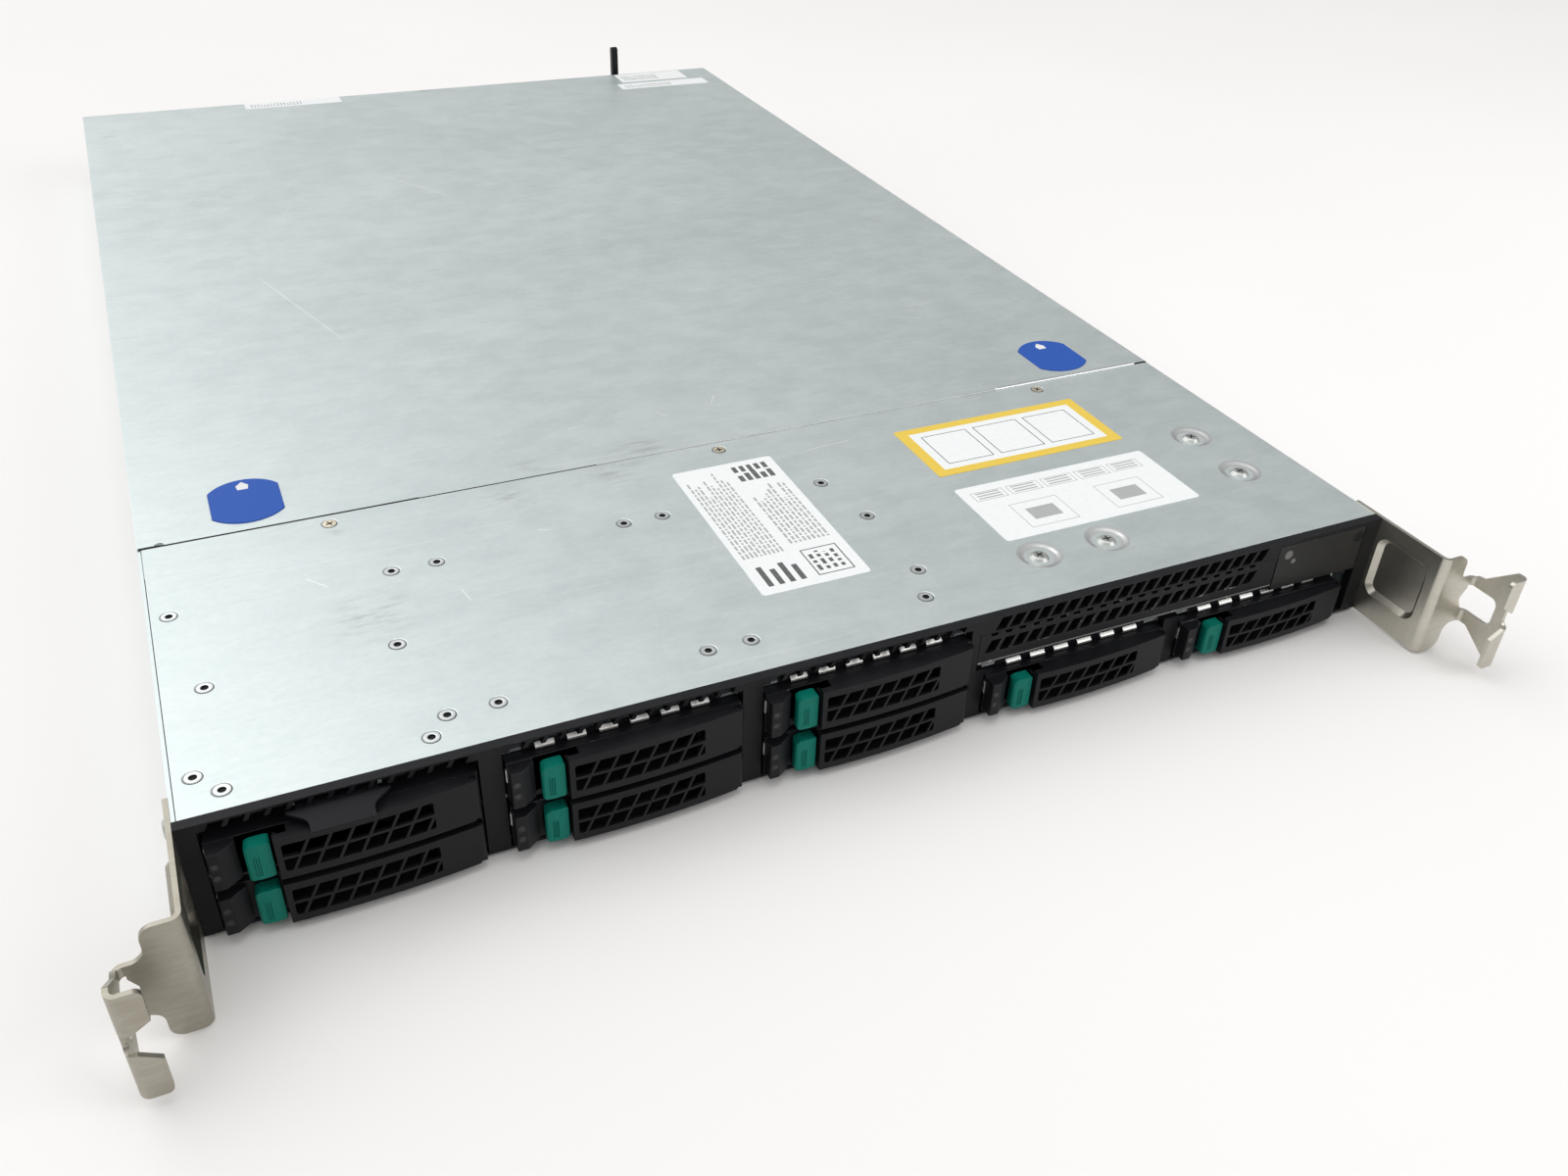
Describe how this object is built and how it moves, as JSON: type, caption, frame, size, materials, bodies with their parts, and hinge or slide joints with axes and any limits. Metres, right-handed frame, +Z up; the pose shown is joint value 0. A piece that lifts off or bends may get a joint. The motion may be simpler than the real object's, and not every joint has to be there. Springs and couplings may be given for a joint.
{
  "type": "rack server",
  "caption": "One-unit rack server: sheet-steel case with a lift-off lid, front drive carriers with latches and grille levers, bent rack ears, fans and a pull-out power supply.",
  "frame": {"origin": "centre of the case's base", "axes": "+X to the right seen from the front, +Y from the front to the rear, +Z up"},
  "size_m": [0.477, 0.773, 0.0608],
  "materials": {
    "galvanised_sheet": "galvanised, fine grain across the width",
    "ear_paint": "plated, warm grey",
    "screw_steel": "plated",
    "spring_steel": "bright",
    "port_shells": "plated",
    "supply_case": null,
    "drive_casting": "cast",
    "sink_aluminium": "bare",
    "black_plastic": "fine moulded texture",
    "fan_plastic": "plain",
    "green_plastic": "satin",
    "blue_plastic": "satin",
    "circuit_board": "lacquered",
    "memory_board": "lacquered"
  },
  "bodies": {
    "chassis": {"chassis_tray": "galvanised_sheet", "front_cover": "galvanised_sheet", "case_screws": "screw_steel", "front_bezel": "black_plastic", "bay_filler_grille": "black_plastic", "control_panel": "black_plastic", "drive_cage": "galvanised_sheet", "emi_spring_fingers": "spring_steel", "drive_backplane": "circuit_board", "motherboard": "circuit_board", "heatsinks": "sink_aluminium", "memory_modules": "memory_board", "air_duct": "black_plastic", "fan_housings": "fan_plastic", "psu_bay_blank": "galvanised_sheet", "rear_io_ports": "port_shells", "left_ear": "ear_paint", "right_ear": "ear_paint"},
    "rear_cover": {"rear_cover": "galvanised_sheet", "cover_touch_pads": "blue_plastic"},
    "asset_tag": {"asset_tag_tab": "black_plastic"},
    "power_supply": {"psu_module": "supply_case"},
    "supply_handle": {"psu_handle": "black_plastic"},
    "fan_rotor_1": {"fan_rotor_1": "fan_plastic"},
    "fan_rotor_2": {"fan_rotor_2": "fan_plastic"},
    "fan_rotor_3": {"fan_rotor_3": "fan_plastic"},
    "fan_rotor_4": {"fan_rotor_4": "fan_plastic"},
    "fan_rotor_5": {"fan_rotor_5": "fan_plastic"},
    "carrier_1": {"drive_carrier_1": "black_plastic", "hard_drive_1": "drive_casting"},
    "lever_1": {"carrier_lever_1": "black_plastic"},
    "latch_1": {"carrier_latch_1": "green_plastic"},
    "carrier_2": {"drive_carrier_2": "black_plastic", "hard_drive_2": "drive_casting"},
    "lever_2": {"carrier_lever_2": "black_plastic"},
    "latch_2": {"carrier_latch_2": "green_plastic"},
    "carrier_3": {"drive_carrier_3": "black_plastic", "hard_drive_3": "drive_casting"},
    "lever_3": {"carrier_lever_3": "black_plastic"},
    "latch_3": {"carrier_latch_3": "green_plastic"},
    "carrier_4": {"drive_carrier_4": "black_plastic", "hard_drive_4": "drive_casting"},
    "lever_4": {"carrier_lever_4": "black_plastic"},
    "latch_4": {"carrier_latch_4": "green_plastic"},
    "carrier_5": {"drive_carrier_5": "black_plastic", "hard_drive_5": "drive_casting"},
    "lever_5": {"carrier_lever_5": "black_plastic"},
    "latch_5": {"carrier_latch_5": "green_plastic"},
    "carrier_6": {"drive_carrier_6": "black_plastic", "hard_drive_6": "drive_casting"},
    "lever_6": {"carrier_lever_6": "black_plastic"},
    "latch_6": {"carrier_latch_6": "green_plastic"},
    "carrier_7": {"drive_carrier_7": "black_plastic", "hard_drive_7": "drive_casting"},
    "lever_7": {"carrier_lever_7": "black_plastic"},
    "latch_7": {"carrier_latch_7": "green_plastic"},
    "carrier_8": {"drive_carrier_8": "black_plastic", "hard_drive_8": "drive_casting"},
    "lever_8": {"carrier_lever_8": "black_plastic"},
    "latch_8": {"carrier_latch_8": "green_plastic"}
  },
  "joints": [
    {"name": "rear_cover_lift", "type": "slide", "parent": "chassis", "child": "rear_cover", "axis": [0, 0, 1], "range_m": [0, 0.06]},
    {"name": "asset_tag_pull", "type": "slide", "parent": "chassis", "child": "asset_tag", "axis": [0, -1, 0], "range_m": [0, 0.045]},
    {"name": "power_supply_pull", "type": "slide", "parent": "chassis", "child": "power_supply", "axis": [0, 1, 0], "range_m": [0, 0.2]},
    {"name": "supply_handle_swing", "type": "hinge", "parent": "power_supply", "child": "supply_handle", "pos_m": [0.1502, 0.3605, 0.0223], "axis": [-1, 0, 0], "range_deg": [0, 95]},
    {"name": "fan_1_spin", "type": "hinge", "parent": "chassis", "child": "fan_rotor_1", "pos_m": [-0.172, -0.1045, 0.0212], "axis": [0, 1, 0], "continuous": true},
    {"name": "fan_2_spin", "type": "hinge", "parent": "chassis", "child": "fan_rotor_2", "pos_m": [-0.086, -0.1045, 0.0212], "axis": [0, 1, 0], "continuous": true},
    {"name": "fan_3_spin", "type": "hinge", "parent": "chassis", "child": "fan_rotor_3", "pos_m": [0, -0.1045, 0.0212], "axis": [0, 1, 0], "continuous": true},
    {"name": "fan_4_spin", "type": "hinge", "parent": "chassis", "child": "fan_rotor_4", "pos_m": [0.086, -0.1045, 0.0212], "axis": [0, 1, 0], "continuous": true},
    {"name": "fan_5_spin", "type": "hinge", "parent": "chassis", "child": "fan_rotor_5", "pos_m": [0.172, -0.1045, 0.0212], "axis": [0, 1, 0], "continuous": true},
    {"name": "carrier_1_pull", "type": "slide", "parent": "chassis", "child": "carrier_1", "axis": [0, -1, 0], "range_m": [0, 0.13]},
    {"name": "lever_1_swing", "type": "hinge", "parent": "carrier_1", "child": "lever_1", "pos_m": [-0.1383, -0.3578, 0.01075], "axis": [0, 0, 1], "range_deg": [0, 50]},
    {"name": "latch_1_press", "type": "slide", "parent": "carrier_1", "child": "latch_1", "axis": [-1, 0, 0], "range_m": [0, 0.0012], "stiffness_N_per_m": 600},
    {"name": "carrier_2_pull", "type": "slide", "parent": "chassis", "child": "carrier_2", "axis": [0, -1, 0], "range_m": [0, 0.13]},
    {"name": "lever_2_swing", "type": "hinge", "parent": "carrier_2", "child": "lever_2", "pos_m": [-0.1383, -0.3578, 0.02865], "axis": [0, 0, 1], "range_deg": [0, 50]},
    {"name": "latch_2_press", "type": "slide", "parent": "carrier_2", "child": "latch_2", "axis": [-1, 0, 0], "range_m": [0, 0.0012], "stiffness_N_per_m": 600},
    {"name": "carrier_3_pull", "type": "slide", "parent": "chassis", "child": "carrier_3", "axis": [0, -1, 0], "range_m": [0, 0.13]},
    {"name": "lever_3_swing", "type": "hinge", "parent": "carrier_3", "child": "lever_3", "pos_m": [-0.0533, -0.3578, 0.01075], "axis": [0, 0, 1], "range_deg": [0, 50]},
    {"name": "latch_3_press", "type": "slide", "parent": "carrier_3", "child": "latch_3", "axis": [-1, 0, 0], "range_m": [0, 0.0012], "stiffness_N_per_m": 600},
    {"name": "carrier_4_pull", "type": "slide", "parent": "chassis", "child": "carrier_4", "axis": [0, -1, 0], "range_m": [0, 0.13]},
    {"name": "lever_4_swing", "type": "hinge", "parent": "carrier_4", "child": "lever_4", "pos_m": [-0.0533, -0.3578, 0.02865], "axis": [0, 0, 1], "range_deg": [0, 50]},
    {"name": "latch_4_press", "type": "slide", "parent": "carrier_4", "child": "latch_4", "axis": [-1, 0, 0], "range_m": [0, 0.0012], "stiffness_N_per_m": 600},
    {"name": "carrier_5_pull", "type": "slide", "parent": "chassis", "child": "carrier_5", "axis": [0, -1, 0], "range_m": [0, 0.13]},
    {"name": "lever_5_swing", "type": "hinge", "parent": "carrier_5", "child": "lever_5", "pos_m": [0.0317, -0.3578, 0.01075], "axis": [0, 0, 1], "range_deg": [0, 50]},
    {"name": "latch_5_press", "type": "slide", "parent": "carrier_5", "child": "latch_5", "axis": [-1, 0, 0], "range_m": [0, 0.0012], "stiffness_N_per_m": 600},
    {"name": "carrier_6_pull", "type": "slide", "parent": "chassis", "child": "carrier_6", "axis": [0, -1, 0], "range_m": [0, 0.13]},
    {"name": "lever_6_swing", "type": "hinge", "parent": "carrier_6", "child": "lever_6", "pos_m": [0.0317, -0.3578, 0.02865], "axis": [0, 0, 1], "range_deg": [0, 50]},
    {"name": "latch_6_press", "type": "slide", "parent": "carrier_6", "child": "latch_6", "axis": [-1, 0, 0], "range_m": [0, 0.0012], "stiffness_N_per_m": 600},
    {"name": "carrier_7_pull", "type": "slide", "parent": "chassis", "child": "carrier_7", "axis": [0, -1, 0], "range_m": [0, 0.13]},
    {"name": "lever_7_swing", "type": "hinge", "parent": "carrier_7", "child": "lever_7", "pos_m": [0.1167, -0.3578, 0.01075], "axis": [0, 0, 1], "range_deg": [0, 50]},
    {"name": "latch_7_press", "type": "slide", "parent": "carrier_7", "child": "latch_7", "axis": [-1, 0, 0], "range_m": [0, 0.0012], "stiffness_N_per_m": 600},
    {"name": "carrier_8_pull", "type": "slide", "parent": "chassis", "child": "carrier_8", "axis": [0, -1, 0], "range_m": [0, 0.13]},
    {"name": "lever_8_swing", "type": "hinge", "parent": "carrier_8", "child": "lever_8", "pos_m": [0.2017, -0.3578, 0.01075], "axis": [0, 0, 1], "range_deg": [0, 50]},
    {"name": "latch_8_press", "type": "slide", "parent": "carrier_8", "child": "latch_8", "axis": [-1, 0, 0], "range_m": [0, 0.0012], "stiffness_N_per_m": 600}
  ]
}
